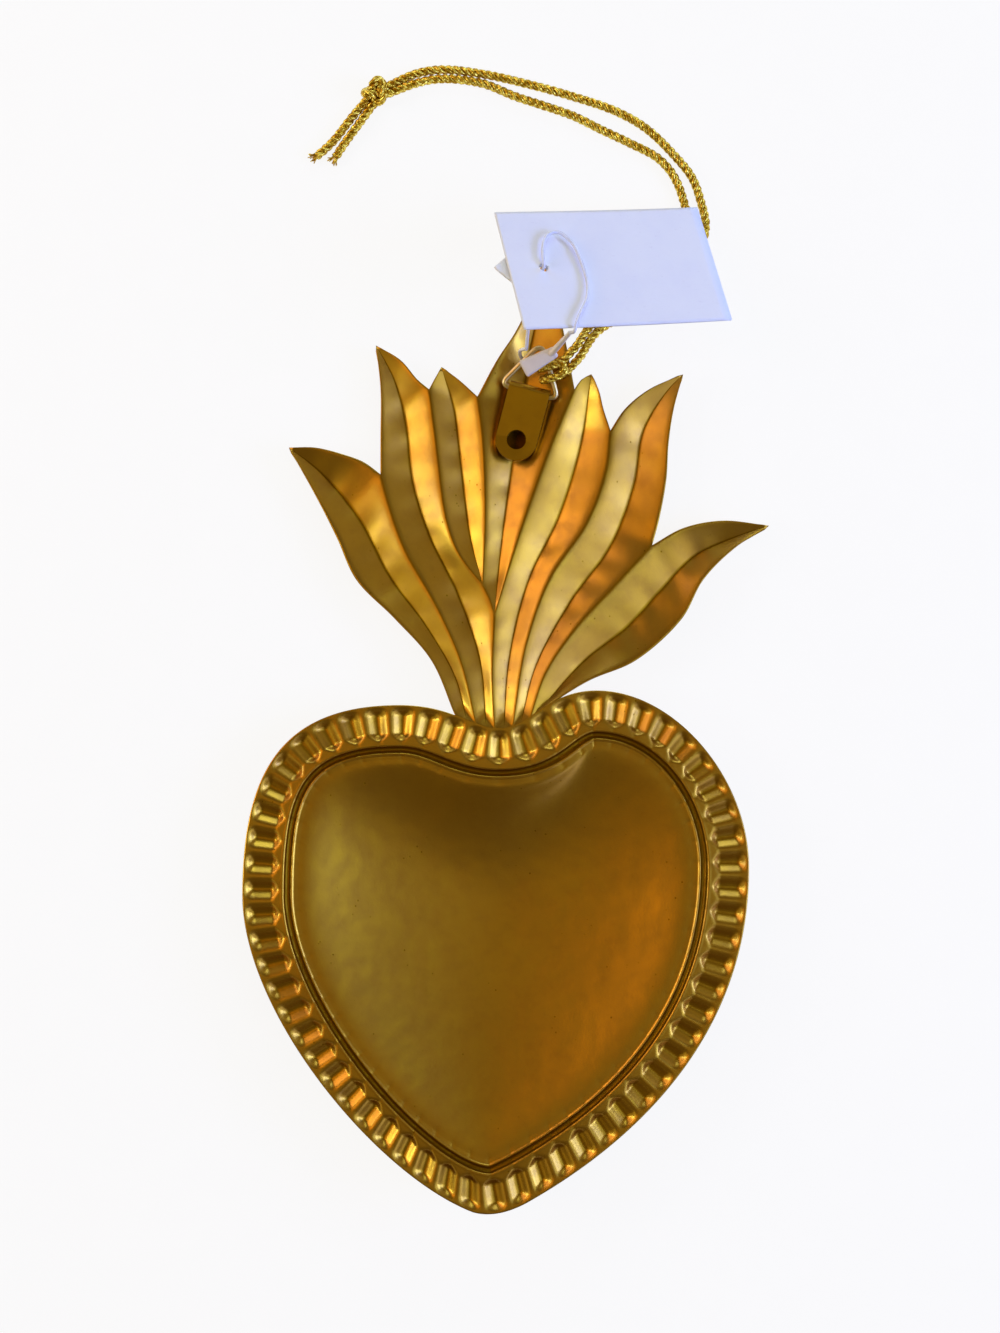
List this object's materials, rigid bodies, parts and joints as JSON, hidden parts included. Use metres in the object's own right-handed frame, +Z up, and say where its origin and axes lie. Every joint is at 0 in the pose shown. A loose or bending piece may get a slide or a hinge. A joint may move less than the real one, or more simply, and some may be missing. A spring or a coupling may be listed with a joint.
{
  "type": "heart ornament",
  "caption": "Flaming-heart hanging ornament of pressed brass with a fluted rim and an enamelled field, a folded hanger strap with a ring, a gilt cord and a blank card tag.",
  "frame": {"origin": "on the surface that the ornament lies on face down, under the middle of the pressed sheet's box", "axes": "+Y from the heart's point to the flames, +Z up out of the hollow back, +X to the right of the back"},
  "size_m": [0.108, 0.2371, 0.0266],
  "materials": {
    "pressed_brass": "aged satin",
    "enamel": "gloss",
    "strap_brass": "satin",
    "solder": "dull tin solder",
    "ring_wire": "drawn wire",
    "gilt_cord": "metallic twist",
    "nylon": "translucent",
    "card": "smooth"
  },
  "bodies": {
    "ornament": {"pressed_plate": "pressed_brass", "enamel_field": "enamel", "hanger_strap": "strap_brass", "solder_bead_west": "solder", "solder_bead_east": "solder", "cord_strand_outer": "gilt_cord", "cord_strand_inner": "gilt_cord", "cord_knot": "gilt_cord", "cord_tail_long": "gilt_cord", "cord_tail_short": "gilt_cord", "tag_filament": "nylon"},
    "ring": {"d_ring": "ring_wire", "cord_hitch": "gilt_cord", "tag_lock": "nylon", "tag_filament_eye": "nylon"},
    "tag": {"tag_card": "card", "tag_leaf": "card"}
  },
  "joints": [
    {"name": "ring_swing", "type": "hinge", "parent": "ornament", "child": "ring", "pos_m": [0.00462, 0.06995, 0.0044], "axis": [0.9659, -0.2585, 0.0119], "range_deg": [0, 100]},
    {"name": "tag_turn", "type": "hinge", "parent": "ornament", "child": "tag", "pos_m": [0.00712, 0.09215, 0.0188], "axis": [0.2336, 0.416, 0.8789], "range_deg": [0, 5]}
  ]
}
